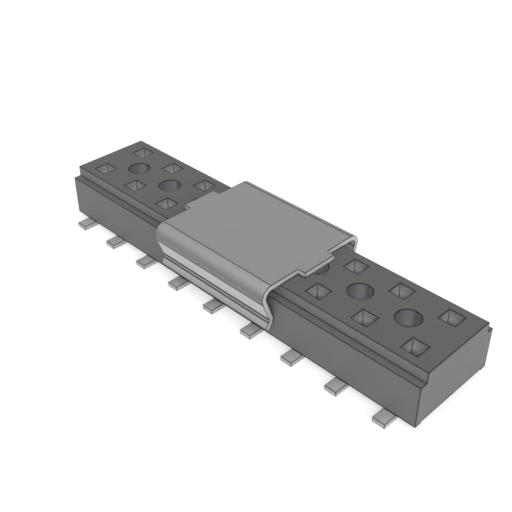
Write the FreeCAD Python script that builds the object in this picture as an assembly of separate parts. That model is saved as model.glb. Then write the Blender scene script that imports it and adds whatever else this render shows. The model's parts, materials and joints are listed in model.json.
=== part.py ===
import FreeCAD, Part
import math
import os

# Low-profile surface-mount socket strip for two rows of square pins, with a
# sprung sheet-metal clip over its middle for vacuum pick-up.
# Millimetres. X runs along the strip, Y across it, Z up. The origin is on the
# board, at the middle of the strip, level with the undersides of the tails.

# Contact grid
columns = 9
pitch = 2.00
row_spacing = 2.00

# Moulded housing
end_margin = 0.99          # last pin centre to end face
side_margin = 0.99         # pin row to side face
housing_height = 2.11
ledge_width = 0.31
ledge_drop = 0.43          # top face down to the ledge
rail_width = 0.30          # the two long feet under the sides
recess_depth = 0.05        # underside between the feet
edge_radius = 0.03         # long edges
end_radius = 0.02          # edges of the end faces
pin_entry = 0.61           # side of the square entries
entry_depth = 0.65         # plain part of an entry, above its cavity
entry_break = 0.02         # chamfer round the mouth of each entry
core_hole_diameter = 0.88
core_hole_break = 0.02

# Contacts, folded from strip
contact_stock = 0.18
contact_width = 1.36       # over the two upright walls
contact_length = 0.86      # of the base and walls, across the strip
contact_play = 0.04        # base and walls to the cavity
contact_fold = 0.10        # inside radius of every fold
wall_height = 0.20         # straight part of the upright walls
crest_height = 1.26        # centre of the beams' crests above the board
beam_gap = 0.36            # between the two crests, for a 0.50 pin
beam_root = 0.60           # beam width where it leaves the wall
beam_tip = 0.34
beam_flare = 30.0          # lead-in at the tips, degrees from upright
flare_run = 0.16
root_slope = 0.06          # rise of the sloping shoulders under the beams
barb_base = 0.26           # underside of the barbs above the board
barb_height = 0.15
pass_window = 0.62         # square, lets a long pin out through the base
tail_width = 0.50
tail_reach = 0.57          # beyond the side face
tail_slope = 0.15          # length of the taper from base to tail

# Pick-up clip, folded from strip
clip_stock = 0.20
clip_length = 5.70
clip_bend = 0.25           # inside radius of the shoulders
clip_overhang = 0.10       # centre of the shoulder bend beyond the side face
kink_radius = 0.15         # inside radius where a leg grips the side face
kink_height = 0.82         # grip above the underside of the housing
lip_flare = 32.0           # degrees from upright
lip_run = 0.29
tab_width = 1.54
tab_reach = 0.33           # beyond the end of the plate
tab_fillet = 0.05

tiny = 1e-6                # for comparing places

# Derived places
bottom = contact_stock     # the feet stand on the tails
top = bottom + housing_height
half_length = (columns - 1) * pitch / 2 + end_margin
half_width = row_spacing / 2 + side_margin
cavity_roof = top - entry_depth
cavity_x = contact_width + 2 * contact_play
cavity_y = contact_length + 2 * contact_play
column_x = [(i - (columns - 1) / 2) * pitch for i in range(columns)]


def vec(x, y, z):
    return FreeCAD.Vector(x, y, z)


def in_plan(u, v):
    return vec(u, v, 0)


def on_end(u, v):
    return vec(0, u, v)


def on_side(u, v):
    return vec(u, 0, v)


# Point at a distance to the left of a heading
def beside(u, v, angle, distance):
    return u - distance * math.sin(angle), v + distance * math.cos(angle)


# Closed face from corner points (u, v) or (u, v, corner radius)
def outline(points, place):
    count = len(points)
    entries = []
    for i, point in enumerate(points):
        here = place(*point[:2])
        radius = point[2] if len(point) == 3 else 0
        back = place(*points[i - 1][:2]).sub(here).normalize()
        ahead = place(*points[(i + 1) % count][:2]).sub(here).normalize()
        if radius:
            half_angle = back.getAngle(ahead) / 2
            leg = radius / math.tan(half_angle)
            middle = back.add(ahead).normalize()
            reach = radius / math.sin(half_angle) - radius
            entries.append([here.add(back * leg), here.add(middle * reach), here.add(ahead * leg)])
        else:
            entries.append([here])
    edges = []
    for i, entry in enumerate(entries):
        if len(entry) == 3:
            edges.append(Part.Arc(*entry).toShape())
        following = entries[(i + 1) % count][0]
        edges.append(Part.LineSegment(entry[-1], following).toShape())
    return Part.Face(Part.Wire(edges))


# Section of a folded strip, traced along its centreline. Each move is a straight
# run, then a turn in degrees (left is positive) and the fold's inside radius.
def folded_strip(stock, start, moves, place):
    edges = []
    starts = []
    tips = []
    for side in (stock / 2, -stock / 2):
        u, v = start
        angle = 0.0
        last = place(*beside(u, v, angle, side))
        starts.append(last)
        for run, turn, inside in moves:
            u += run * math.cos(angle)
            v += run * math.sin(angle)
            corner = place(*beside(u, v, angle, side))
            edges.append(Part.LineSegment(last, corner).toShape())
            last = corner
            if turn:
                radius = math.copysign(inside + stock / 2, turn)
                centre = beside(u, v, angle, radius)
                halfway = angle + math.radians(turn) / 2
                angle += math.radians(turn)
                u, v = beside(*centre, angle, -radius)
                end = place(*beside(u, v, angle, side))
                through = place(*beside(*centre, halfway, side - radius))
                edges.append(Part.Arc(last, through, end).toShape())
                last = end
        tips.append(last)
    edges.append(Part.LineSegment(*starts).toShape())
    edges.append(Part.LineSegment(*tips).toShape())
    return Part.Face(Part.Wire(Part.__sortEdges__(edges)))


# A strip turns about one circle and back about a second one, whose centre lies
# further along by rise and further out by offset: lean in degrees and free run
def sway(offset, rise, radius_sum):
    distance = math.hypot(offset, rise)
    lean = math.asin(radius_sum / distance) - math.atan2(offset, rise)
    return math.degrees(lean), math.sqrt(distance ** 2 - radius_sum ** 2)


def block(size_x, size_y, low_z, high_z, x, y):
    corner = vec(x - size_x / 2, y - size_y / 2, low_z)
    return Part.makeBox(size_x, size_y, high_z - low_z, corner)


def both_sides(solid, normal):
    return solid.fuse(solid.mirror(vec(0, 0, 0), normal)).removeSplitter()


# Square mouth with a small chamfer, cut down to the cavity below it
def entry_tool(x, y):
    tool = block(pin_entry, pin_entry, cavity_roof, top, x, y)
    rings = []
    for level, grow in ((top - entry_break, 0), (top, entry_break)):
        half = pin_entry / 2 + grow
        corners = [(-half, -half), (half, -half), (half, half), (-half, half), (-half, -half)]
        rings.append(Part.makePolygon([vec(x + u, y + v, level) for u, v in corners]))
    return tool.fuse(Part.makeLoft(rings, True, True))


def core_hole_tool(x):
    radius = core_hole_diameter / 2
    bore = Part.makeCylinder(radius, housing_height, vec(x, 0, bottom))
    mouth_start = vec(x, 0, top - core_hole_break)
    mouth = Part.makeCone(radius, radius + core_hole_break, core_hole_break, mouth_start)
    return bore.fuse(mouth)


# Stepped section with feet, extruded and edge-rounded, then cored out
def make_housing():
    ledge = top - ledge_drop
    foot = half_width - rail_width
    shoulder = half_width - ledge_width
    right = [
        (foot, bottom + recess_depth), (foot, bottom), (half_width, bottom),
        (half_width, ledge, edge_radius), (shoulder, ledge), (shoulder, top, edge_radius),
    ]
    left = [(-point[0], *point[1:]) for point in reversed(right)]
    section = outline(right + left, on_end)
    section.translate(vec(-half_length, 0, 0))
    body = section.extrude(vec(2 * half_length, 0, 0))
    above_feet = bottom + recess_depth + tiny
    in_ends = [edge for edge in body.Edges if edge.BoundBox.XLength < tiny]
    body = body.makeFillet(end_radius, [edge for edge in in_ends if edge.BoundBox.ZMax > above_feet])
    tools = []
    for x in column_x:
        for y in (-row_spacing / 2, row_spacing / 2):
            tools.append(entry_tool(x, y))
            tools.append(block(cavity_x, cavity_y, bottom, cavity_roof, x, y))
    for x in column_x[:-1]:
        tools.append(core_hole_tool(x + pitch / 2))
    return body.cut(tools)


# Contact about its own pin axis, tail towards +Y
def make_contact():
    mid_radius = contact_fold + contact_stock / 2
    flat = contact_width / 2 - contact_stock - contact_fold
    crest_centre = beam_gap / 2 + contact_stock + contact_fold
    lean_start = contact_stock + contact_fold + wall_height
    lean, beam_run = sway(crest_centre - flat, crest_height - lean_start, 2 * mid_radius)
    moves = [
        (flat, 90, contact_fold),
        (wall_height, lean, contact_fold),
        (beam_run, -(lean + beam_flare), contact_fold),
        (flare_run, 0, 0),
    ]
    half_barbed = contact_length / 2 + contact_play
    section = folded_strip(contact_stock, (0, contact_stock / 2), moves, on_side)
    section.translate(vec(0, -half_barbed, 0))
    folded = section.extrude(vec(0, 2 * half_barbed, 0))

    # Side view of the walls: barbed foot, then a tapered beam
    half = contact_length / 2
    right = [
        (half, 0), (half, barb_base), (half_barbed, barb_base), (half, barb_base + barb_height),
        (half, lean_start - root_slope), (beam_root / 2, lean_start), (beam_tip / 2, cavity_roof),
    ]
    left = [(-point[0], *point[1:]) for point in reversed(right)]
    trim = outline(right + left, on_end).extrude(vec(contact_width / 2, 0, 0))
    body = both_sides(folded.common(trim), vec(1, 0, 0))

    # Flat tail, tapered where it leaves the base
    tip = half_width - row_spacing / 2 + tail_reach
    side = tail_width / 2
    plan = [
        (flat, 0), (flat, half), (side, half + tail_slope), (side, tip),
        (-side, tip), (-side, half + tail_slope), (-flat, half), (-flat, 0),
    ]
    tail = outline(plan, in_plan).extrude(vec(0, 0, contact_stock))
    window = block(pass_window, pass_window, 0, contact_stock, 0, 0)
    return body.fuse(tail).cut(window).removeSplitter()


# Clip: flat plate on the housing, legs that grip its sides, two end tabs
def make_clip():
    mid_bend = clip_bend + clip_stock / 2
    mid_kink = kink_radius + clip_stock / 2
    offset = kink_radius + clip_stock - clip_overhang
    drop = top - clip_bend - (bottom + kink_height)
    lean, leg_run = sway(offset, drop, mid_bend + mid_kink)
    moves = [
        (half_width + clip_overhang, -(90 + lean), clip_bend),
        (leg_run, lean + lip_flare, kink_radius),
        (lip_run, 0, 0),
    ]
    section = folded_strip(clip_stock, (0, top + clip_stock / 2), moves, on_end)
    section.translate(vec(-clip_length / 2, 0, 0))
    strip = both_sides(section.extrude(vec(clip_length, 0, 0)), vec(0, 1, 0))

    # Tabs on the ends of the plate, with small fillets in their corners
    plate_end = clip_length / 2
    plate_edge = half_width
    tab_end = plate_end + tab_reach
    tab_half = tab_width / 2
    right = [
        (plate_end, -plate_edge), (plate_end, -tab_half, tab_fillet), (tab_end, -tab_half),
        (tab_end, tab_half), (plate_end, tab_half, tab_fillet), (plate_end, plate_edge),
    ]
    left = [(-point[0], -point[1], *point[2:]) for point in right]
    plate = outline(right + left, in_plan)
    plate.translate(vec(0, 0, top))
    return strip.fuse(plate.extrude(vec(0, 0, clip_stock))).removeSplitter()


def save(shape, node):
    solid = shape.Solids[0]
    solid.exportStep("parts/" + node + ".step")


os.makedirs("parts", exist_ok=True)
save(make_housing(), "housing")
save(make_clip(), "pick_up_clip")
contact = make_contact()
for row, turn, y in (("front", 180, -row_spacing / 2), ("back", 0, row_spacing / 2)):
    for i, x in enumerate(column_x):
        placed = contact.copy()
        placed.rotate(vec(0, 0, 0), vec(0, 0, 1), turn)
        placed.translate(vec(x, y, 0))
        save(placed, "contact_" + row + "_" + str(i + 1))
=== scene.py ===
import json
import math

import bmesh
import bpy
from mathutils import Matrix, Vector


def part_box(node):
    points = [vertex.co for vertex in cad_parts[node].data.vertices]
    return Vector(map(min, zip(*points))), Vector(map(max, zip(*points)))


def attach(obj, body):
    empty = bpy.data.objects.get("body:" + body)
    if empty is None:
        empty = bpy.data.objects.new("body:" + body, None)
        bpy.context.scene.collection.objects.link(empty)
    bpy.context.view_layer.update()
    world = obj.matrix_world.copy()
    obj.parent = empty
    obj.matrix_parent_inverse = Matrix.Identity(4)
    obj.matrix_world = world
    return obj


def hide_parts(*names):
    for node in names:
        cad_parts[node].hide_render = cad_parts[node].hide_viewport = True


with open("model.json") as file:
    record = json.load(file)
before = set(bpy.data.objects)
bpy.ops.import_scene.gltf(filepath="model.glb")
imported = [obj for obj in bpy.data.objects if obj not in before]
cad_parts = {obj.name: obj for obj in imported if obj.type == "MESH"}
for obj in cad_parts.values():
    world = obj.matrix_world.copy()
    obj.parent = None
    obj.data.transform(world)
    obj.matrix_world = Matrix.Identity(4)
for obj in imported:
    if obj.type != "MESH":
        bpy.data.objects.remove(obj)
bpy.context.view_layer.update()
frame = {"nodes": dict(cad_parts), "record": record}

mm = 0.001             # pieces are shaped in millimetres and brought to metres when done
near = 0.0005          # mm, for telling places apart
cutWeld = 0.00001      # mm, a cut this near a corner goes through it
seamWeld = 0.0001      # mm, corners this near are one
mirrorWeld = 0.001     # mm, the same where a half meets its mirror image
foldStep = 5.0         # degrees of a fold to one row of faces
flatLimit = 1.0        # degrees, faces that meet at less are made one
breakLimit = 40.0      # degrees, edges of a sheet sharper than this are broken
smoothLimit = 35.0     # degrees, over edges flatter than this the shading runs on
facingLimit = 0.7      # share of a normal along an axis, from which a face counts as facing that way
white = (1, 1, 1, 1)
print("frame loaded:", len(frame["nodes"]), "nodes")


# Hand tools: each works on what is selected, as in the viewport

def putDown():
    if bpy.context.object and bpy.context.object.mode != "OBJECT":
        bpy.ops.object.mode_set(mode="OBJECT")
    bpy.ops.object.select_all(action="DESELECT")


def takeUp(obj):
    putDown()
    obj.select_set(True)
    bpy.context.view_layer.objects.active = obj


# Names the primitive just added, fixes its place and opens it for editing
def openPiece(name):
    obj = bpy.context.object
    obj.name = name
    obj.data.name = name
    bpy.ops.object.transform_apply(location=True, rotation=True, scale=True)
    bpy.ops.object.mode_set(mode="EDIT")
    return obj


# Selects what has its middle and all its corners where isThere says
def pick(kind, isThere):
    bpy.ops.mesh.select_mode(type=kind)
    bpy.ops.mesh.select_all(action="DESELECT")
    data = bpy.context.edit_object.data
    shape = bmesh.from_edit_mesh(data)
    items = {"VERT": shape.verts, "EDGE": shape.edges, "FACE": shape.faces}[kind]
    for item in items:
        places = [item.co] if kind == "VERT" else [corner.co for corner in item.verts]
        middle = sum(places, Vector()) / len(places)
        if all(isThere(place) for place in places + [middle]):
            item.select_set(True)
    shape.select_flush_mode()
    bmesh.update_edit_mesh(data)


def pickAll():
    bpy.ops.mesh.select_mode(type="FACE")
    bpy.ops.mesh.select_all(action="SELECT")


def cut(place, normal):
    bpy.ops.mesh.bisect(plane_co=place, plane_no=normal, threshold=cutWeld)


def push(x, y, z):
    bpy.ops.mesh.extrude_region_move(TRANSFORM_OT_translate={"value": (x, y, z)})


def stretch(x, y, z, about):
    bpy.ops.transform.resize(value=(x, y, z), center_override=about)


# Folds the selected edge on round a centre, a few degrees to each step (spin turns
# the other way from a rotation about its axis, so the angle is negated)
def fold(degrees, centre, axis):
    steps = math.ceil(abs(degrees) / foldStep)
    bpy.ops.mesh.spin(steps=steps, angle=-math.radians(degrees), center=centre, axis=axis)


def roundEdges(radius, segments):
    bpy.ops.mesh.bevel(offset=radius, offset_type="OFFSET", segments=segments, affect="EDGES")


# Joins the selected faces that lie in one plane
def flatten():
    bpy.ops.mesh.dissolve_limited(angle_limit=math.radians(flatLimit))


def addModifier(kind, **settings):
    modifier = bpy.context.object.modifiers.new(kind.lower(), kind)
    for name, value in settings.items():
        setattr(modifier, name, value)
    bpy.ops.object.modifier_apply(modifier=modifier.name)


def repeat(count, step):
    addModifier("ARRAY", count=count, use_relative_offset=False, use_constant_offset=True,
                constant_offset_displace=step)


# Finishes the thin sheet of one half: the other half, its thickness, and its sharp edges broken
def finishSheet(mirrorAxes, stock, edge):
    bpy.ops.object.mode_set(mode="OBJECT")
    addModifier("MIRROR", use_axis=mirrorAxes, merge_threshold=mirrorWeld)
    addModifier("SOLIDIFY", thickness=stock, offset=0, use_even_offset=True)
    bpy.ops.object.mode_set(mode="EDIT")
    pickAll()
    bpy.ops.mesh.normals_make_consistent(inside=False)
    flatten()
    bpy.ops.object.mode_set(mode="OBJECT")
    width, segments = edge
    addModifier("BEVEL", width=width, segments=segments, limit_method="ANGLE",
                angle_limit=math.radians(breakLimit))


# Brings a piece to metres and hands it over in place of its CAD node
def handOver(obj, node, material):
    takeUp(obj)
    obj.scale = (mm, mm, mm)
    bpy.ops.object.transform_apply(location=True, rotation=True, scale=True)
    bpy.ops.object.shade_smooth_by_angle(angle=math.radians(smoothLimit))
    addModifier("WEIGHTED_NORMAL", keep_sharp=True)
    obj.data.materials.clear()
    obj.data.materials.append(material)
    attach(obj, "root")
    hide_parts(node)


def cornersOf(node):
    low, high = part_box(node)
    return low / mm, high / mm


# A strip turns about one circle and back about a second, further along by rise and
# out by offset: gives the lean of the straight run between them and its length
def leanAndRun(offset, rise, radii):
    distance = math.hypot(offset, rise)
    lean = math.asin(radii / distance) - math.atan2(offset, rise)
    return math.degrees(lean), math.sqrt(distance ** 2 - radii ** 2)


def heading(degrees, length):
    return length * math.cos(math.radians(degrees)), length * math.sin(math.radians(degrees))


# Sizes that the pieces share, from the frame
columns = range(1, 10)
rows = ("front", "back")
entryMount = next(mount for mount in frame["record"]["mounts"] if mount["name"] == "pin_entries")
pitch = entryMount["dims"]["spacing_x_mm"]
rowSpacing = entryMount["dims"]["spacing_y_mm"]
bodyLow, bodyHigh = cornersOf("housing")
bodyTop = bodyHigh.z
halfWidth = bodyHigh.y


# Shader groups shared by the materials: each puts out tones and heights only

def addNode(tree, kind, **settings):
    node = tree.nodes.new(kind)
    for name, value in settings.items():
        setattr(node, name, value)
    return node


def newGroup(name, inputs, outputs):
    group = bpy.data.node_groups.new(name, "ShaderNodeTree")
    for label in inputs:
        kind = "NodeSocketVector" if label == "Place" else "NodeSocketFloat"
        group.interface.new_socket(label, in_out="INPUT", socket_type=kind)
    for label in outputs:
        group.interface.new_socket(label, in_out="OUTPUT", socket_type="NodeSocketFloat")
    return group, addNode(group, "NodeGroupInput"), addNode(group, "NodeGroupOutput")


# A math node with its inputs linked or set in order
def addMath(tree, operation, *values):
    node = addNode(tree, "ShaderNodeMath", operation=operation)
    for socket, value in zip(node.inputs, values):
        if isinstance(value, (int, float)):
            socket.default_value = value
        else:
            tree.links.new(value, socket)
    return node.outputs[0]


# The pattern as a height, and as a tone: 1 plus or minus the amount, as it goes from 0 to 1
def putOut(group, pattern, amount, result):
    centred = addMath(group, "SUBTRACT", pattern, 0.5)
    swing = addMath(group, "MULTIPLY", centred, 2.0)
    tone = addMath(group, "MULTIPLY_ADD", swing, amount, 1.0)
    group.links.new(tone, result.inputs["Tone"])
    group.links.new(pattern, result.inputs["Height"])


# Cloudy mottling of one grain size (metres)
def makeMottle():
    group, given, result = newGroup("mottle", ("Place", "Grain", "Amount", "Detail"), ("Tone", "Height"))
    noise = addNode(group, "ShaderNodeTexNoise")
    group.links.new(given.outputs["Place"], noise.inputs["Vector"])
    group.links.new(addMath(group, "DIVIDE", 1.0, given.outputs["Grain"]), noise.inputs["Scale"])
    group.links.new(given.outputs["Detail"], noise.inputs["Detail"])
    putOut(group, noise.outputs["Fac"], given.outputs["Amount"], result)
    return group


rolledNoise = {"Scale": 1.0, "Detail": 4.0, "Roughness": 0.65}


# Fine streaks that run along Y and Z, as rolling leaves them on strip (width and length in metres)
def makeRolledGrain():
    group, given, result = newGroup("rolledGrain", ("Place", "Width", "Length", "Amount"),
                                    ("Tone", "Height"))
    across = addMath(group, "DIVIDE", 1.0, given.outputs["Width"])
    along = addMath(group, "DIVIDE", 1.0, given.outputs["Length"])
    scales = addNode(group, "ShaderNodeCombineXYZ")
    group.links.new(across, scales.inputs["X"])
    group.links.new(along, scales.inputs["Y"])
    group.links.new(along, scales.inputs["Z"])
    stretched = addNode(group, "ShaderNodeVectorMath", operation="MULTIPLY")
    group.links.new(given.outputs["Place"], stretched.inputs[0])
    group.links.new(scales.outputs["Vector"], stretched.inputs[1])
    noise = addNode(group, "ShaderNodeTexNoise")
    for label, value in rolledNoise.items():
        noise.inputs[label].default_value = value
    group.links.new(stretched.outputs["Vector"], noise.inputs["Vector"])
    putOut(group, noise.outputs["Fac"], given.outputs["Amount"], result)
    return group


edgeSearch = {
    "samples": 16,
    "thinGain": 5.0,       # how soon an outer edge, where the solid is thin, reaches the full tone
    "cornerShadeGain": 2.2,     # and an inner corner or a place where pieces meet, where the darkening is painted shade
}


# 1 away from any edge, 1 plus the amount along outer edges (a dark line) and in inner corners and where
# pieces meet (painted shade)
def makeEdgeLineAndShade():
    group, given, result = newGroup("edgeLineAndShade", ("Reach", "Amount"), ("Tone",))
    masks = []
    for isInside, gain in ((True, edgeSearch["thinGain"]), (False, edgeSearch["cornerShadeGain"])):
        shut = addNode(group, "ShaderNodeAmbientOcclusion", samples=edgeSearch["samples"],
                       inside=isInside, only_local=isInside)
        group.links.new(given.outputs["Reach"], shut.inputs["Distance"])
        met = addMath(group, "SUBTRACT", 1.0, shut.outputs["AO"])
        masks.append(addMath(group, "MINIMUM", addMath(group, "MULTIPLY", met, gain), 1.0))
    mask = addMath(group, "MAXIMUM", *masks)
    tone = addMath(group, "MULTIPLY_ADD", mask, given.outputs["Amount"], 1.0)
    group.links.new(tone, result.inputs["Tone"])
    return group


mottle = makeMottle()
rolledGrain = makeRolledGrain()
edgeLineAndShade = makeEdgeLineAndShade()


# A material in the making: its shader, where a spot lies on the piece and which way it
# faces, and short ways to wire nodes
class Finish:
    def __init__(self, name, look):
        self.material = bpy.data.materials.new(name)
        self.material.use_nodes = True
        self.tree = self.material.node_tree
        self.shader = self.tree.nodes["Principled BSDF"]
        self.shader.inputs["Metallic"].default_value = look["metallic"]
        self.shader.inputs["Specular IOR Level"].default_value = look["specular"]
        coordinates = addNode(self.tree, "ShaderNodeTexCoord")
        self.place = coordinates.outputs["Object"]
        self.x, self.y, self.z = self.split(self.place)
        self.facingX, self.facingY, self.facingZ = self.split(coordinates.outputs["Normal"])

    def split(self, vector):
        parts = addNode(self.tree, "ShaderNodeSeparateXYZ")
        self.tree.links.new(vector, parts.inputs[0])
        return parts.outputs["X"], parts.outputs["Y"], parts.outputs["Z"]

    def math(self, operation, *values):
        return addMath(self.tree, operation, *values)

    # Masks: where both hold, where one or the other does
    def both(self, first, second):
        return self.math("MULTIPLY", first, second)

    def either(self, first, second):
        return self.math("MAXIMUM", first, second)

    def above(self, value, limit):
        return self.math("GREATER_THAN", value, limit)

    def below(self, value, limit):
        return self.math("LESS_THAN", value, limit)

    # 1 where the value lies further from 0 than the limit
    def beyond(self, value, limit):
        return self.above(self.math("ABSOLUTE", value), limit)

    # 1 where the surface faces along an axis, either way
    def isAlong(self, facing):
        return self.beyond(facing, facingLimit)

    # The second value where the mask is 1, the first where it is 0
    def mix(self, mask, first, second):
        change = self.math("SUBTRACT", second, first)
        return self.math("MULTIPLY_ADD", mask, change, first)

    # From 0 to 1 as what is given goes from low to high
    def ramp(self, given, low, high):
        node = addNode(self.tree, "ShaderNodeMapRange")
        self.tree.links.new(given, node.inputs["Value"])
        node.inputs["From Min"].default_value = low
        node.inputs["From Max"].default_value = high
        return node.outputs["Result"]

    # The tone or colour of the stops on either side of what is given, in proportion
    def tonesAt(self, given, stops):
        first, last = stops[0][0], stops[-1][0]
        share = self.math("DIVIDE", self.math("SUBTRACT", given, first), last - first)
        node = addNode(self.tree, "ShaderNodeValToRGB")
        elements = node.color_ramp.elements
        while len(elements) < len(stops):
            elements.new(0.5)
        for element, (at, tone) in zip(elements, stops):
            element.position = (at - first) / (last - first)
            element.color = (*(tone if isinstance(tone, tuple) else (tone, tone, tone)), 1)
        self.tree.links.new(share, node.inputs["Fac"])
        return node.outputs["Color"]

    # A shared group with this material's own values
    def use(self, group, values):
        node = addNode(self.tree, "ShaderNodeGroup", node_tree=group)
        if "Place" in node.inputs:
            self.tree.links.new(self.place, node.inputs["Place"])
        for label, value in values.items():
            node.inputs[label].default_value = value
        return node

    # The colour times every tone, to Base Color
    def colour(self, rgb, *tones):
        product = tones[0]
        for tone in tones[1:]:
            product = self.math("MULTIPLY", product, tone)
        shaded = addNode(self.tree, "ShaderNodeVectorMath", operation="SCALE")
        if isinstance(rgb, tuple):
            shaded.inputs[0].default_value = rgb
        else:
            self.tree.links.new(rgb, shaded.inputs[0])
        self.tree.links.new(product, shaded.inputs["Scale"])
        self.tree.links.new(shaded.outputs["Vector"], self.shader.inputs["Base Color"])

    # The roughness times a group's tone
    def roughness(self, value, uneven):
        product = self.math("MULTIPLY", value, uneven.outputs["Tone"])
        self.tree.links.new(product, self.shader.inputs["Roughness"])

    # A group's pattern as relief of so many metres
    def relief(self, uneven, height):
        bump = addNode(self.tree, "ShaderNodeBump")
        bump.inputs["Distance"].default_value = 1.0
        self.tree.links.new(self.math("MULTIPLY", uneven.outputs["Height"], height), bump.inputs["Height"])
        self.tree.links.new(bump.outputs["Normal"], self.shader.inputs["Normal"])


housing = {
    "ledgeWidth": 0.31,
    "ledgeDrop": 0.43,
    "footWidth": 0.30,
    "recess": 0.05,            # underside between the feet
    "longEdge": (0.03, 4),     # rounding of the edges along the strip: radius, rows of faces
    "endEdge": (0.02, 3),
    "entry": 0.61,             # square hole for a pin
    "entryDepth": 0.65,
    "cavity": (1.44, 0.94),    # for a contact, under each entry
    "coreHole": 0.88,          # round hole between two columns
    "coreFacets": 64,
    "mouth": 0.012,            # rounding at the mouth of every hole
    # out and up, in shares of that rounding: two steps round, the third straight on past the face
    "mouthSteps": ((0.134, 0.5), (0.5, 0.866), (1.5, 1.134)),
    "cutterReach": 1.0,        # the cutters of the holes start this far below the underside
}

plastic = {
    "metallic": 0.0,
    "specular": 0.35,
    "roughness": 0.62,
    "colour": (0.1605, 0.1587, 0.1549),
    "coreReflectionTint": (0.1605, 0.1620, 0.1672),    # the round holes' walls, bluer: a painted reflection tint
    "grain": {"Grain": 0.00007, "Amount": 0.07, "Detail": 2.0},    # spark-eroded texture
    "grainHeight": 0.0000022,
    "cloud": {"Grain": 0.0012, "Amount": 0.05, "Detail": 4.0},     # flow clouds of the moulding
    "edges": {"Reach": 0.000050, "Amount": -0.80},                 # darker along the edges, painted shade in inner corners
    "stepPaintedLight": (1.18, 1.28),     # painted light against the shade at each step: the wall above each ledge, the ledge
    # walls of the holes, painted lighter with depth against the shade inside them: tone at the mouth, and at
    # the first depth
    "entryPaintedLight": (1.19, 5.7),
    "corePaintedLight": (0.80, 2.52),
    "toneDepths": (0.42, 0.62, 1.10),    # from the second to the last the tone goes back to 1
    "toneLimit": 5.5,
    "entrySideLight": 1.24,             # more painted light for the walls that face along Y
    # painted light and shade by facing in the round holes: how far a wall faces along X, tone
    "coreSidesPaintedShading": (
        (0, 0.88), (0.12, 1.02), (0.26, 1.30), (0.46, 1.31), (0.70, 1.06), (0.90, 0.84), (1.0, 0.79)),
    "coveredCoreLight": 2.3,            # more painted light for the round holes that the clip covers in part, against its shadow
    "coveredPitches": 2,           # which lie within so many pitches of the middle
    "wallZone": 0.5,               # upright faces this near the outline are outer walls, others are in holes
    "coreZone": 0.5,               # and those this near the middle line are in round ones
    "levelLimit": 0.5,             # share of a normal along Z, from which a face is no wall
    "rimWidths": (0.026, 0.022),   # dark rims on the top face, round the square mouths, the round ones
    "rimTone": 0.06,
    "rimZone": 0.09,               # no other edge tone so near a mouth
    "mouthDepth": 0.06,            # inside it, the edge tone is no darker than the next
    "mouthTones": (0.85, 0.45),    # square holes, round ones
    "lowerContactShade": (0.052, 0.12),     # width and tone of the painted contact shade, a dark line along the lower edges
}


# Painted light on a hole's wall against the shade inside it: a tone by its depth below the top face, times
# what its facing gives
def toneDown(finish, tones, side):
    mouthTone, deepTone = tones
    full, start, end = plastic["toneDepths"]
    depth = finish.math("SUBTRACT", bodyTop * mm, finish.z)
    share = finish.math("DIVIDE", depth, full * mm)
    tone = finish.math("MULTIPLY", finish.math("POWER", deepTone / mouthTone, share), mouthTone)
    tone = finish.math("MINIMUM", finish.math("MULTIPLY", tone, side), plastic["toneLimit"])
    return finish.mix(finish.ramp(depth, start * mm, end * mm), tone, 1.0)


# Painted light on the walls of the square and the round holes
def holePaintedLight(finish, offMiddle):
    entrySideLight = finish.mix(finish.isAlong(finish.facingY), 1.0, plastic["entrySideLight"])
    coreSide = finish.tonesAt(finish.math("ABSOLUTE", finish.facingX), plastic["coreSidesPaintedShading"])
    isOpen = finish.beyond(finish.x, plastic["coveredPitches"] * pitch * mm)
    coreSide = finish.math("MULTIPLY", coreSide, finish.mix(isOpen, plastic["coveredCoreLight"], 1.0))
    coreTone = toneDown(finish, plastic["corePaintedLight"], coreSide)
    entryTone = toneDown(finish, plastic["entryPaintedLight"], entrySideLight)
    return finish.mix(offMiddle, coreTone, entryTone)


# Painted light on the wall above each ledge and on the ledge, against the shade in the corner between them
def stepPaintedLight(finish):
    wallTone, ledgeTone = plastic["stepPaintedLight"]
    isOut = finish.beyond(finish.y, (halfWidth - housing["ledgeWidth"] - near) * mm)
    isUp = finish.above(finish.z, (bodyTop - housing["ledgeDrop"] - near) * mm)
    tone = finish.mix(finish.isAlong(finish.facingZ), wallTone, ledgeTone)
    return finish.mix(finish.both(isOut, isUp), 1.0, tone)


# Distance along X from the nearest of the places a pitch apart, one of them at start
def toNearest(finish, start):
    turns = finish.math("DIVIDE", finish.math("SUBTRACT", finish.x, start * mm), pitch * mm)
    off = finish.math("SUBTRACT", turns, finish.math("ROUND", turns))
    return finish.math("MULTIPLY", finish.math("ABSOLUTE", off), pitch * mm)


# Distances on the top face from the nearest square mouth and the nearest round one, in metres
def toMouths(finish):
    fromRow = finish.math("SUBTRACT", finish.math("ABSOLUTE", finish.y), rowSpacing / 2 * mm)
    fromEntry = finish.math("MAXIMUM", toNearest(finish, 0), finish.math("ABSOLUTE", fromRow))
    # past the last round hole there is none, so it counts as far off
    pastLast = finish.beyond(finish.x, (bodyHigh.x - pitch / 2) * mm)
    along = finish.math("ADD", toNearest(finish, pitch / 2), pastLast)
    squares = [finish.math("MULTIPLY", part, part) for part in (along, finish.y)]
    fromCore = finish.math("SQRT", finish.math("ADD", *squares))
    return (finish.math("SUBTRACT", fromEntry, (housing["entry"] / 2 + housing["mouth"]) * mm),
            finish.math("SUBTRACT", fromCore, (housing["coreHole"] / 2 + housing["mouth"]) * mm))


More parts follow.
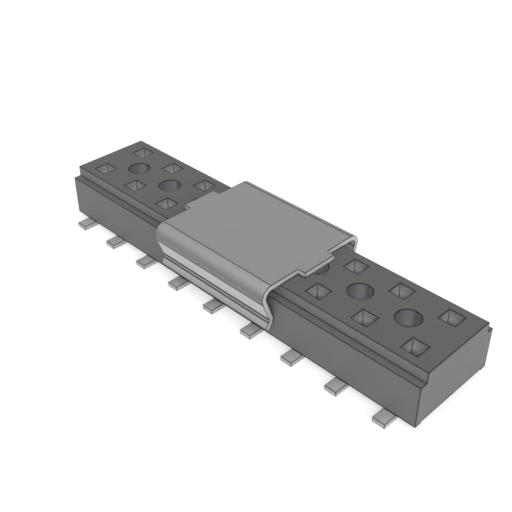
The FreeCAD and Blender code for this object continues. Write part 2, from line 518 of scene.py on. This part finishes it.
# The edge tone, but a plain rim round the mouths and less dark inside them
def mouthLines(finish, edge, outer, offMiddle):
    distances = toMouths(finish)
    rims = [finish.below(distance, width * mm) for distance, width in zip(distances, plastic["rimWidths"])]
    zones = [finish.below(distance, plastic["rimZone"] * mm) for distance in distances]
    rim = finish.mix(finish.either(*rims), 1.0, plastic["rimTone"])
    depth = finish.math("SUBTRACT", bodyTop * mm, finish.z)
    onTop = finish.below(depth, housing["mouth"] * mm)
    inMouth = finish.below(finish.math("ADD", depth, outer), plastic["mouthDepth"] * mm)
    entry, core = plastic["mouthTones"]
    edge = finish.math("MAXIMUM", edge, finish.both(inMouth, finish.mix(offMiddle, core, entry)))
    return finish.mix(finish.both(onTop, finish.either(*zones)), edge, rim)


# Painted contact shade along the lower edges of the outer walls, higher where the recess runs out at the
# ends
def paintedContactLine(finish, outer):
    width, tone = plastic["lowerContactShade"]
    isFoot = finish.beyond(finish.y, (halfWidth - housing["footWidth"]) * mm)
    lowest = finish.mix(isFoot, (bodyLow.z + housing["recess"]) * mm, bodyLow.z * mm)
    isLower = finish.below(finish.math("SUBTRACT", finish.z, lowest), width * mm)
    return finish.mix(finish.both(outer, isLower), 1.0, tone)


def makePlastic():
    finish = Finish("glass_filled_plastic", plastic)
    fine = finish.use(mottle, plastic["grain"])
    cloud = finish.use(mottle, plastic["cloud"])
    edges = finish.use(edgeLineAndShade, plastic["edges"])
    outer = finish.either(finish.beyond(finish.x, (bodyHigh.x - plastic["wallZone"]) * mm),
                          finish.beyond(finish.y, (halfWidth - plastic["wallZone"]) * mm))
    outer = finish.either(outer, finish.beyond(finish.facingZ, plastic["levelLimit"]))
    offMiddle = finish.beyond(finish.y, plastic["coreZone"] * mm)
    base = finish.tonesAt(finish.either(outer, offMiddle),
                          ((0, plastic["coreReflectionTint"]), (1, plastic["colour"])))
    holeTone = finish.mix(outer, holePaintedLight(finish, offMiddle), 1.0)
    line = finish.math("MINIMUM", mouthLines(finish, edges.outputs["Tone"], outer, offMiddle),
                       paintedContactLine(finish, outer))
    finish.colour(base, fine.outputs["Tone"], cloud.outputs["Tone"], line, holeTone, stepPaintedLight(finish))
    finish.roughness(plastic["roughness"], cloud)
    finish.relief(fine, plastic["grainHeight"])
    return finish.material


# Draws the selected top of a cutter up through the top face, flaring round the mouth
def drawThroughMouth(halfSize, startHeight):
    radius = housing["mouth"]
    push(0, 0, bodyTop - radius - startHeight)
    size, height = halfSize, 0
    for out, up in housing["mouthSteps"]:
        push(0, 0, (up - height) * radius)
        grow = (halfSize + out * radius) / size
        stretch(grow, grow, 1, (0, 0, 0))
        size, height = halfSize + out * radius, up


# Repeats a cutter a pitch apart along the strip, about its middle
def repeatAlong(cutter, count, y):
    bpy.ops.object.mode_set(mode="OBJECT")
    cutter.location = (-(count - 1) / 2 * pitch, y, 0)
    bpy.ops.object.transform_apply(location=True)
    repeat(count, (pitch, 0, 0))


def makeEntryCutter():
    roof = bodyTop - housing["entryDepth"]
    across, along = housing["cavity"]
    start = bodyLow.z - housing["cutterReach"]
    putDown()
    bpy.ops.mesh.primitive_cube_add(size=1, location=(0, 0, (start + roof) / 2))
    bpy.context.object.scale = (across, along, roof - start)
    cutter = openPiece("entry_cutter")
    pick("FACE", lambda place: place.z > roof - near)
    push(0, 0, 0)
    stretch(housing["entry"] / across, housing["entry"] / along, 1, (0, 0, 0))
    drawThroughMouth(housing["entry"] / 2, roof)
    repeatAlong(cutter, len(columns), -rowSpacing / 2)
    repeat(len(rows), (0, rowSpacing, 0))
    return cutter


def makeCoreCutter():
    radius = housing["coreHole"] / 2
    reach = housing["cutterReach"]
    putDown()
    bpy.ops.mesh.primitive_cylinder_add(vertices=housing["coreFacets"], radius=radius, depth=reach,
                                        location=(0, 0, bodyLow.z - reach / 2))
    cutter = openPiece("core_cutter")
    pick("FACE", lambda place: place.z > bodyLow.z - near)
    drawThroughMouth(radius, bodyLow.z)
    repeatAlong(cutter, len(columns) - 1, 0)
    return cutter


def makeHousing(material):
    ledge = bodyTop - housing["ledgeDrop"]
    foot = halfWidth - housing["footWidth"]
    shoulder = halfWidth - housing["ledgeWidth"]
    footTop = bodyLow.z + housing["recess"]
    # the end section, cut from a sheet that stands across the strip
    putDown()
    middle = (bodyLow.x, 0, (bodyLow.z + bodyTop) / 2)
    bpy.ops.mesh.primitive_plane_add(size=1, location=middle, rotation=(0, math.radians(90), 0))
    bpy.context.object.scale = (bodyTop - bodyLow.z, 2 * halfWidth, 1)
    body = openPiece("moulded_housing")
    for y in (-foot, -shoulder, shoulder, foot):
        pickAll()
        cut((0, y, 0), (0, 1, 0))
    for z in (footTop, ledge):
        pickAll()
        cut((0, 0, z), (0, 0, 1))
    pick("FACE", lambda place: abs(place.y) > shoulder - near and place.z > ledge - near)
    bpy.ops.mesh.delete(type="FACE")
    pick("FACE", lambda place: abs(place.y) < foot + near and place.z < footTop + near)
    bpy.ops.mesh.delete(type="FACE")
    pickAll()
    flatten()
    # drawn out to the length of the strip, then its edges rounded
    pickAll()
    push(bodyHigh.x - bodyLow.x, 0, 0)
    pickAll()
    bpy.ops.mesh.normals_make_consistent(inside=False)
    pick("EDGE", lambda place: abs(abs(place.y) - shoulder) < near and place.z > bodyTop - near)
    roundEdges(*housing["longEdge"])
    pick("EDGE", lambda place: abs(place.y) > halfWidth - near and abs(place.z - ledge) < near)
    roundEdges(*housing["longEdge"])
    for end in (bodyLow.x, bodyHigh.x):
        pick("EDGE", lambda place: abs(place.x - end) < near and (
            place.z > footTop + near or abs(place.y) > halfWidth - near))
        roundEdges(*housing["endEdge"])
    # the holes
    entries = makeEntryCutter()
    cores = makeCoreCutter()
    for cutter in (entries, cores):
        takeUp(body)
        addModifier("BOOLEAN", operation="DIFFERENCE", object=cutter, solver="EXACT")
        takeUp(cutter)
        bpy.ops.object.delete()
    handOver(body, "housing", material)


clip = {
    "stock": 0.20,
    "bendRadius": 0.25,        # inside, at the shoulders
    "overhang": 0.10,          # centre of a shoulder bend beyond the side face
    "kinkRadius": 0.15,        # where a leg grips the side face
    "kinkHeight": 0.82,        # above the underside of the housing
    "lipFlare": 32.0,          # degrees from upright
    "lipRun": 0.29,
    "tabWidth": 1.54,
    "tabReach": 0.33,
    "edge": (0.022, 3),        # break of the sheared edges: width, rows of faces
}
clipHalfLength = cornersOf("pick_up_clip")[1].x - clip["tabReach"]
bendPlace = (halfWidth + clip["overhang"], bodyTop - clip["bendRadius"])
kinkPlace = (halfWidth + clip["kinkRadius"] + clip["stock"], bodyLow.z + clip["kinkHeight"])
legLean, legRun = leanAndRun(
    kinkPlace[0] - bendPlace[0], bendPlace[1] - kinkPlace[1],
    clip["bendRadius"] + clip["kinkRadius"] + clip["stock"])

steelColour = (0.424, 0.420, 0.411)
reflectionTintColour = (0.418, 0.420, 0.421)      # a painted reflection tint round a shoulder
steepReflectionTint = (0.413, 0.420, 0.438)      # and the most tint, where the shoulder is steep
steel = {
    "metallic": 0.40,          # satin, less than half way to a mirror
    "specular": 0.3,
    "roughness": 0.52,
    "streaks": {"Width": 0.00004, "Length": 0.003, "Amount": 0.06},
    "streakHeight": 0.0000010,
    "cloud": {"Grain": 0.0009, "Amount": 0.04, "Detail": 3.0},
    "edges": {"Reach": 0.000045, "Amount": -0.80},
    "cutTone": 1.34,           # sheared faces, against the rolled ones
    "cutRoughness": 0.68,
    "rimWidth": 0.035,         # dark rim on top, along the ends of the plate and tabs
    "rimTone": 0.32,
    "innerLimit": 0.25,        # share of a normal towards the middle, from which a face is an inner one
    # painted light and shade round a shoulder, dark lines at its ends among them: degrees from straight up,
    # tone
    "shoulderPaintedShading": (
        (-3, 1.0), (-1, 0.36), (3, 0.36), (6, 1.14), (20, 1.14), (30, 1.13), (38, 1.09), (50, 0.88),
        (62, 0.67), (72, 0.54), (80, 0.48), (90, 0.505), (100, 0.51), (110, 0.52), (114, 0.14),
        (122, 0.14), (125, 1.36), (152, 1.32), (160, 1.33), (166, 1.41), (171, 1.54)),
    # painted reflection tint round a shoulder: degrees from straight up, colour
    "shoulderReflectionTints": (
        (30, steelColour), (42, reflectionTintColour), (74, reflectionTintColour), (90, steepReflectionTint), (103, steepReflectionTint),
        (111, reflectionTintColour)),
    # painted shade on top of the back shoulder
    "backPaintedShade": (
        (-3, 1.0), (-1, 0.65), (3, 0.65), (8, 0.80), (20, 0.62), (35, 0.48), (48, 0.55), (66, 1.0)),
    # painted light inside the shoulder and on the upper leg, against the shade there, with a dark line
    # between
    "innerPaintedLight": (
        (-3, 1.0), (3, 2.0), (100, 2.0), (104, 0.4), (112, 0.4), (116, 2.3), (168, 2.3), (176, 1.0)),
    # and painted light and shade along the kink and the lip: degrees from straight in, tone
    "kinkPaintedShading": (
        (-95, 0.10), (-93.5, 0.10), (-91.5, 0.62), (-48, 0.73), (-45, 0.085), (-30, 0.085), (-27, 0.40),
        (-5, 0.435), (9, 0.36), (12, 0.025), (48, 0.025), (51, 1.0)),
}


# Tone by the angle round a fold that runs along X, mirrored for both legs
def toneRound(finish, centre, tones, fromUp=True):
    out = finish.math("SUBTRACT", finish.math("ABSOLUTE", finish.y), centre[0] * mm)
    up = finish.math("SUBTRACT", finish.z, centre[1] * mm)
    if fromUp:
        angle = finish.math("ARCTAN2", out, up)
    else:
        angle = finish.math("ARCTAN2", up, finish.math("MULTIPLY", out, -1.0))
    return finish.tonesAt(finish.math("DEGREES", angle), tones)


# Sheared faces: the ends, and the sides of the tabs
def shearedFaces(finish):
    tabSide = finish.both(finish.isAlong(finish.facingY), finish.beyond(finish.x, clipHalfLength * mm))
    return finish.either(finish.isAlong(finish.facingX), tabSide)


# Painted light and shade on the rolled faces, the outer and the inner ones
def paintedBendShading(finish):
    isBack = finish.above(finish.y, 0.0)
    back = finish.mix(isBack, 1.0, toneRound(finish, bendPlace, steel["backPaintedShade"]))
    shoulder = finish.math("MULTIPLY", toneRound(finish, bendPlace, steel["shoulderPaintedShading"]), back)
    kink = toneRound(finish, kinkPlace, steel["kinkPaintedShading"], fromUp=False)
    kink = finish.math("MAXIMUM", kink, finish.above(finish.z, bendPlace[1] * mm))
    inner = toneRound(finish, bendPlace, steel["innerPaintedLight"])
    # inner: faces towards the middle of the part, and the underside of the plate
    outwards = finish.math("MULTIPLY", finish.facingY, finish.math("SIGN", finish.y))
    isInner = finish.either(finish.below(outwards, -steel["innerLimit"]),
                            finish.below(finish.facingZ, -facingLimit))
    return finish.mix(isInner, finish.math("MULTIPLY", shoulder, kink), inner)


# Dark rim on top, along the ends of the plate and of the tabs
def endRims(finish):
    tabEnd = (clipHalfLength + clip["tabReach"]) * mm
    reach = finish.mix(finish.beyond(finish.y, clip["tabWidth"] / 2 * mm), tabEnd, clipHalfLength * mm)
    toEnd = finish.math("SUBTRACT", reach, finish.math("ABSOLUTE", finish.x))
    isRim = finish.both(finish.below(toEnd, steel["rimWidth"] * mm),
                        finish.above(finish.facingZ, facingLimit))
    return finish.mix(isRim, 1.0, steel["rimTone"])


def makeSteel():
    finish = Finish("rolled_spring_steel", steel)
    streaks = finish.use(rolledGrain, steel["streaks"])
    cloud = finish.use(mottle, steel["cloud"])
    edges = finish.use(edgeLineAndShade, steel["edges"])
    isCut = shearedFaces(finish)
    # painted light and shade on the rolled faces, the sheared faces with their own tone
    paintedOrCut = finish.mix(isCut, paintedBendShading(finish), steel["cutTone"])
    line = finish.math("MINIMUM", edges.outputs["Tone"], endRims(finish))
    # the base colour, with the painted reflection tint round the shoulders
    rolled = toneRound(finish, bendPlace, steel["shoulderReflectionTints"])
    finish.colour(rolled, streaks.outputs["Tone"], cloud.outputs["Tone"], line, paintedOrCut)
    finish.roughness(finish.mix(isCut, steel["roughness"], steel["cutRoughness"]), streaks)
    finish.relief(streaks, steel["streakHeight"])
    return finish.material


def makeClip(material):
    stock = clip["stock"]
    plate = bodyTop + stock / 2
    tabHalf = clip["tabWidth"] / 2
    # one half of the plate as a thin sheet, then its leg folded on from the edge
    putDown()
    bpy.ops.mesh.primitive_plane_add(size=1, location=(0, bendPlace[0] / 2, plate))
    bpy.context.object.scale = (2 * clipHalfLength, bendPlace[0], 1)
    sheet = openPiece("formed_clip")
    pickAll()
    cut((0, tabHalf, 0), (0, 1, 0))
    pick("EDGE", lambda place: place.y > bendPlace[0] - near)
    fold(-(90 + legLean), (0, *bendPlace), (1, 0, 0))
    push(0, *heading(-(90 + legLean), legRun))
    fold(legLean + clip["lipFlare"], (0, *kinkPlace), (1, 0, 0))
    push(0, *heading(clip["lipFlare"] - 90, clip["lipRun"]))
    for end in (-clipHalfLength, clipHalfLength):
        pick("EDGE", lambda place: (
            abs(place.x - end) < near and place.y < tabHalf + near and place.z > bodyTop))
        push(math.copysign(clip["tabReach"], end), 0, 0)
    finishSheet((False, True, False), stock, clip["edge"])
    handOver(sheet, "pick_up_clip", material)


contact = {
    "stock": 0.18,
    "width": 1.36,             # over the two upright walls
    "length": 0.86,
    "foldRadius": 0.10,        # inside, every fold
    "wall": 0.20,              # straight part of the walls
    "crest": 1.26,             # centre of the beams' crests above the board
    "gap": 0.36,               # between the two crests
    "rootWidth": 0.60,         # of a beam
    "tipWidth": 0.34,
    "flare": 30.0,             # degrees from upright
    "flareRun": 0.16,
    "shoulderRise": 0.06,      # of the wall's top corners
    "barbTop": 0.41,
    "barb": 0.04,
    "window": 0.62,            # in the base
    "tailWidth": 0.50,
    "tailSlope": 0.15,         # over which the base narrows to the tail
    "edge": (0.015, 2),        # break of the sheared edges: width, rows of faces
}

tin = {
    "metallic": 0.35,
    "specular": 0.5,
    "roughness": 0.55,
    "colour": (0.590, 0.582, 0.562),
    "crystals": {"Grain": 0.00008, "Amount": 0.10, "Detail": 3.0},
    "crystalHeight": 0.0000016,
    "streaks": {"Width": 0.00005, "Length": 0.0008, "Amount": 0.05},
    "edges": {"Reach": 0.000045, "Amount": -0.78},
    "flankPaintedShade": 0.775,        # painted shade on upright faces, against the level ones
}


def makeTin():
    finish = Finish("matte_tin_plate", tin)
    crystals = finish.use(mottle, tin["crystals"])
    streaks = finish.use(rolledGrain, tin["streaks"])
    edges = finish.use(edgeLineAndShade, tin["edges"])
    flankPaintedShade = finish.mix(finish.isAlong(finish.facingZ), tin["flankPaintedShade"], 1.0)
    finish.colour(tin["colour"], crystals.outputs["Tone"], streaks.outputs["Tone"], edges.outputs["Tone"],
                  flankPaintedShade)
    finish.roughness(tin["roughness"], crystals)
    finish.relief(crystals, tin["crystalHeight"])
    return finish.material


# Trims both sides of what is between two heights to a slope from one half width to another
def trimSides(low, high, lowHalf, highHalf):
    slope = (highHalf - lowHalf) / (high - low)
    for side in (-1, 1):
        pick("FACE", lambda place: low - near < place.z < high + near and place.x > 0)
        cut((0, side * lowHalf, low), (0, side, -slope))
    pick("FACE", lambda place: low - near < place.z < high + near and place.x > 0 and (
        abs(place.y) > lowHalf + slope * (place.z - low) - near))
    bpy.ops.mesh.delete(type="FACE")


def makeContact():
    stock = contact["stock"]
    middleRadius = contact["foldRadius"] + stock / 2
    flat = contact["width"] / 2 - stock - contact["foldRadius"]
    half = contact["length"] / 2
    wallStart = stock + contact["foldRadius"]
    wallEnd = wallStart + contact["wall"]
    crestOut = contact["gap"] / 2 + stock + contact["foldRadius"]
    lean, beamRun = leanAndRun(crestOut - flat, contact["crest"] - wallEnd, 2 * middleRadius)
    shoulder = wallEnd - contact["shoulderRise"]
    window = contact["window"] / 2
    # one half of the base as a thin sheet, with its window
    putDown()
    bpy.ops.mesh.primitive_plane_add(size=1, location=(flat / 2, 0, stock / 2))
    bpy.context.object.scale = (flat, 2 * half, 1)
    sheet = openPiece("contact")
    pickAll()
    cut((window, 0, 0), (1, 0, 0))
    for y in (-window, window):
        pickAll()
        cut((0, y, 0), (0, 1, 0))
    pick("FACE", lambda place: place.x < window + near and abs(place.y) < window + near)
    bpy.ops.mesh.delete(type="FACE")
    # wall and beam folded up from the side of the base
    left = (0, -1, 0)
    pick("EDGE", lambda place: place.x > flat - near)
    fold(90, (flat, 0, wallStart), left)
    push(0, 0, contact["wall"])
    fold(lean, (flat, 0, wallEnd), left)
    x, z = heading(90 + lean, beamRun)
    push(x, 0, z)
    fold(-(lean + contact["flare"]), (crestOut, 0, contact["crest"]), left)
    x, z = heading(90 - contact["flare"], contact["flareRun"])
    push(x, 0, z)
    for z in (contact["barbTop"], shoulder):
        pickAll()
        cut((0, 0, z), (0, 0, 1))
    # the wall's corners and the beam's taper, which would end at the roof of the cavity
    cavityRoof = bodyTop - housing["entryDepth"]
    trimSides(shoulder, wallEnd, half, contact["rootWidth"] / 2)
    trimSides(wallEnd, cavityRoof, contact["rootWidth"] / 2, contact["tipWidth"] / 2)
    for side in (-1, 1):
        # a barb: the wall's edge drawn out, its top corner brought back to the wall
        pick("EDGE", lambda place: side * place.y > half - near and wallStart - near < place.z < (
            contact["barbTop"] + near))
        push(0, side * contact["barb"], 0)
        pick("VERT", lambda place: side * place.y > half + near and place.z > contact["barbTop"] - near)
        bpy.ops.transform.translate(value=(0, -side * contact["barb"], 0))
    # tail
    pick("EDGE", lambda place: place.y > half - near and place.z < stock and place.x < flat + near)
    push(0, contact["tailSlope"], 0)
    stretch(contact["tailWidth"] / 2 / flat, 1, 1, (0, 0, 0))
    tailEnd = cornersOf("contact_back_1")[1].y - rowSpacing / 2
    push(0, tailEnd - half - contact["tailSlope"], 0)
    pickAll()
    bpy.ops.mesh.remove_doubles(threshold=seamWeld)
    finishSheet((True, False, False), stock, contact["edge"])
    return sheet


# One contact is shaped about its own pin axis, then copied to all eighteen places
def placeContacts(material):
    model = makeContact()
    for row in rows:
        for column in columns:
            node = "contact_" + row + "_" + str(column)
            low, high = cornersOf(node)
            takeUp(model)
            bpy.ops.object.duplicate()
            copy = bpy.context.object
            copy.name = "plated_" + node
            copy.data.name = copy.name
            isFront = row == "front"
            copy.rotation_euler.z = math.radians(180 if isFront else 0)
            copy.location = ((low.x + high.x) / 2, rowSpacing / 2 * (-1 if isFront else 1), 0)
            bpy.ops.object.transform_apply(location=True, rotation=True)
            handOver(copy, node, material)
    takeUp(model)
    bpy.ops.object.delete()


makeHousing(makePlastic())
print("housing done")
makeClip(makeSteel())
print("clip done")
placeContacts(makeTin())
print("contacts done")


# Studio: camera as the photograph, pale floor, soft light

camera = {
    "place": (0.01803165, -0.01789821, 0.01921194),
    "turn": (54.736303, 0.149416, 45.113904),    # degrees
    "lens": 57.436,
    "sensor": 36.0,
    "nearest": 0.001,          # metres, what is nearer or further isn't shown
    "furthest": 10,
}


def makeCamera():
    turn = [math.radians(degrees) for degrees in camera["turn"]]
    bpy.ops.object.camera_add(location=camera["place"], rotation=turn)
    view = bpy.context.object
    view.data.sensor_width = camera["sensor"]
    view.data.lens = camera["lens"]
    view.data.clip_start = camera["nearest"]
    view.data.clip_end = camera["furthest"]
    bpy.context.scene.camera = view


floorLook = {
    "size": 2.0,
    "drop": 0.00002,           # below the tails, so that they don't share a plane
    "colour": (0.93, 0.93, 0.93),
    "roughness": 1.0,
    "specular": 0.0,
    "lift": 0.50,              # light added for camera and mirror rays, to reach white
}


def makeFloor():
    putDown()
    bpy.ops.mesh.primitive_plane_add(size=floorLook["size"], location=(0, 0, -floorLook["drop"]))
    floor = openPiece("studio_floor")
    bpy.ops.object.mode_set(mode="OBJECT")
    material = bpy.data.materials.new("studio_white")
    material.use_nodes = True
    tree = material.node_tree
    shader = tree.nodes["Principled BSDF"]
    shader.inputs["Base Color"].default_value = (*floorLook["colour"], 1)
    shader.inputs["Roughness"].default_value = floorLook["roughness"]
    shader.inputs["Specular IOR Level"].default_value = floorLook["specular"]
    shader.inputs["Emission Color"].default_value = white
    ray = addNode(tree, "ShaderNodeLightPath").outputs
    seen = addMath(tree, "MAXIMUM", ray["Is Camera Ray"], ray["Is Glossy Ray"])
    seen = addMath(tree, "MAXIMUM", seen, ray["Is Transmission Ray"])
    tree.links.new(addMath(tree, "MULTIPLY", seen, floorLook["lift"]), shader.inputs["Emission Strength"])
    floor.data.materials.append(material)


light = {
    "toKey": (0.853, -0.492, 0.174),
    "keySpread": 80.0,         # degrees across
    "keyLevel": 0.79,          # share of full white on a face turned to it
    "sky": 0.50,
    "horizon": 1.0,
    "horizonTop": 8.0,         # degrees up to which the horizon stays bright
    "skyStart": 22.0,
}


def makeKey():
    away = Vector(light["toKey"]).normalized()
    bpy.ops.object.light_add(type="SUN", location=away, rotation=away.to_track_quat("Z", "Y").to_euler())
    lamp = bpy.context.object.data
    lamp.energy = light["keyLevel"] * math.pi
    lamp.angle = math.radians(light["keySpread"])


def makeSky():
    world = bpy.data.worlds.new("studio_sky")
    world.use_nodes = True
    bpy.context.scene.world = world
    tree = world.node_tree
    parts = addNode(tree, "ShaderNodeSeparateXYZ")
    tree.links.new(addNode(tree, "ShaderNodeTexCoord").outputs["Generated"], parts.inputs[0])
    fade = addNode(tree, "ShaderNodeMapRange", interpolation_type="SMOOTHSTEP")
    tree.links.new(parts.outputs["Z"], fade.inputs["Value"])
    fade.inputs["From Min"].default_value = math.sin(math.radians(light["horizonTop"]))
    fade.inputs["From Max"].default_value = math.sin(math.radians(light["skyStart"]))
    fade.inputs["To Min"].default_value = light["horizon"]
    fade.inputs["To Max"].default_value = light["sky"]
    background = tree.nodes["Background"]
    background.inputs["Color"].default_value = white
    tree.links.new(fade.outputs["Result"], background.inputs["Strength"])


makeCamera()
makeFloor()
makeKey()
makeSky()
bpy.context.scene.view_settings.view_transform = "Standard"
print("studio done")
